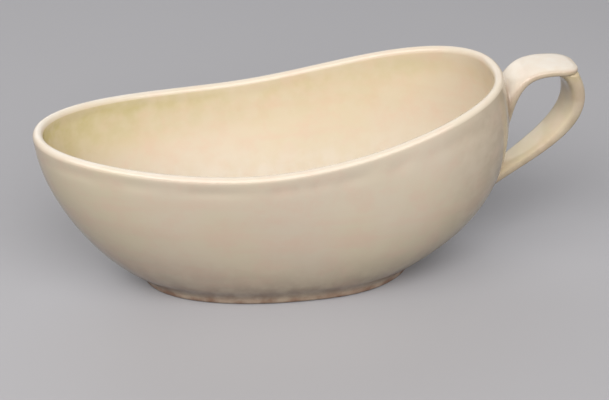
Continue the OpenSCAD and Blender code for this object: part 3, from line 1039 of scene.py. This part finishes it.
def glaze(name):
    """Clear glossy glaze over a cream body, with a faint uneven skin."""
    n = Nodes(name)
    place = n.add("ShaderNodeTexCoord").outputs["Object"]
    body = glaze_pool_and_painted_light(n, place, mottled_cream(n, place))
    roughness = n.span(n.noise(place, scale=48.0), 0.3, 0.7, to_low=0.08, to_high=0.16)
    broad_peel = n.math("MULTIPLY", n.noise(place, scale=60.0, detail=2.0), 2.0)
    peel = n.math("ADD", n.noise(place, scale=210.0, detail=2.0), broad_peel)
    bump = n.add("ShaderNodeBump", {"Height": peel, "Strength": 0.25, "Distance": 0.00012})
    n.set(n.shader.inputs["Base Color"], specked(n, place, body))
    n.set(n.shader.inputs["Roughness"], roughness)
    n.set(n.shader.inputs["IOR"], 1.52)
    n.set(n.shader.inputs["Normal"], bump.outputs["Normal"])
    return n.material


def pale_floor():
    """A pale floor that throws less light on the vessel than it shows."""
    n = Nodes("floor_pale")
    rays = n.add("ShaderNodeLightPath").outputs
    seen = n.math("MAXIMUM", rays["Is Camera Ray"], rays["Is Glossy Ray"])
    n.set(n.shader.inputs["Base Color"], n.mix(seen, FLOOR_LIT, FLOOR_SEEN))
    n.set(n.shader.inputs["Roughness"], 0.9)
    n.set(n.shader.inputs["Specular IOR Level"], 0.1)
    return n.material


# Scene, in metres

FLOOR_HALF = 4.0
WORLD_COLOUR = (1.0, 0.94, 0.88, 1.0)
WORLD_STRENGTH = 0.09
LAMP_AIM = Vector((0.0, 0.0, 0.05))
# Each lamp's place, its width, its power in watts and its tint
LAMPS = {
    "front_left": ((-0.83, -0.60, 1.09), 1.0, 8.8, (1.0, 0.95, 0.90)),
    "front": ((0.14, -1.03, 1.07), 1.6, 19.0, (1.0, 0.95, 0.91)),
    "back": ((0.13, 1.52, 1.00), 2.2, 9.6, (0.98, 1.0, 1.02)),
    "back_left": ((-0.60, 1.40, 0.50), 1.3, 3.0, (1.0, 0.96, 0.92)),
}
# The photograph's viewpoint: a place in millimetres, two angles in radians, and the lens
CAMERA_PLACE = np.array([-92.09, -482.95, 348.42])
CAMERA_PITCH = 0.567
CAMERA_YAW = 0.1823
CAMERA_LENS = 70.89
SENSOR_WIDTH = 36.0
CLIP_START = 0.01


def make_floor():
    mesh = bpy.data.meshes.new("floor")
    corners = [(FLOOR_HALF * x, FLOOR_HALF * y, 0) for x, y in ((-1, -1), (1, -1), (1, 1), (-1, 1))]
    mesh.from_pydata(corners, [], [(0, 1, 2, 3)])
    mesh.materials.append(pale_floor())
    floor = bpy.data.objects.new("floor", mesh)
    bpy.context.scene.collection.objects.link(floor)
    floor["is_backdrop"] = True


def make_lamp(name, place, width, power, tint):
    lamp = bpy.data.lights.new(name, "AREA")
    lamp.shape = "DISK"
    lamp.size = width
    lamp.energy = power
    lamp.color = tint
    holder = bpy.data.objects.new(name, lamp)
    holder.location = place
    holder.rotation_euler = (LAMP_AIM - Vector(place)).to_track_quat("-Z", "Y").to_euler()
    bpy.context.scene.collection.objects.link(holder)


def make_world():
    world = bpy.data.worlds.new("studio")
    world.use_nodes = True
    background = world.node_tree.nodes["Background"]
    background.inputs["Color"].default_value = WORLD_COLOUR
    background.inputs["Strength"].default_value = WORLD_STRENGTH
    bpy.context.scene.world = world


def make_camera():
    """The camera, for a frame 609 wide and 400 high."""
    level = math.cos(CAMERA_PITCH)
    right = Vector((math.cos(CAMERA_YAW), -math.sin(CAMERA_YAW), 0.0))
    ahead = Vector((math.sin(CAMERA_YAW) * level, math.cos(CAMERA_YAW) * level, -math.sin(CAMERA_PITCH)))
    up = right.cross(ahead)
    data = bpy.data.cameras.new("camera")
    data.sensor_fit = "HORIZONTAL"
    data.sensor_width = SENSOR_WIDTH
    data.lens = CAMERA_LENS
    data.clip_start = CLIP_START
    camera = bpy.data.objects.new("camera", data)
    turn = Matrix((right, up, -ahead)).transposed().to_4x4()
    place = (CAMERA_PLACE + TO_ORIGIN) * MM
    camera.matrix_world = Matrix.Translation(place.tolist()) @ turn
    bpy.context.scene.collection.objects.link(camera)
    bpy.context.scene.camera = camera


def make_vessel():
    cream = glaze("cream_glaze")
    pooled_and_lit = glaze("pooled_glaze")
    make_bowl(cream)
    make_foot_ring(cream)
    make_upper_strap(cream)
    make_lower_strap(cream)
    upper_root = (upper_point, UPPER_MET, UPPER_JOINT, UPPER_START, UPPER_SLIP, UPPER_RING_LIGHT_AND_SHADE)
    lower_root = (lower_point, LOWER_MET, LOWER_JOINT, LOWER_END, LOWER_SLIP, LOWER_RING_PAINTED_SHADE)
    make_root_slip("upper_root_slip", *upper_root, pooled_and_lit)
    make_root_slip("lower_root_slip", *lower_root, pooled_and_lit)
    make_thumb_rest_slip(pooled_and_lit)
    make_foot_slip(pooled_and_lit)


make_vessel()
make_floor()
for lamp_name, settings in LAMPS.items():
    make_lamp(lamp_name, *settings)
make_world()
make_camera()
bpy.context.scene.view_settings.view_transform = "Standard"

boxes = {"cad": cad_box, "visual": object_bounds()}
{name: [list(corner) for corner in box] for name, box in boxes.items()}
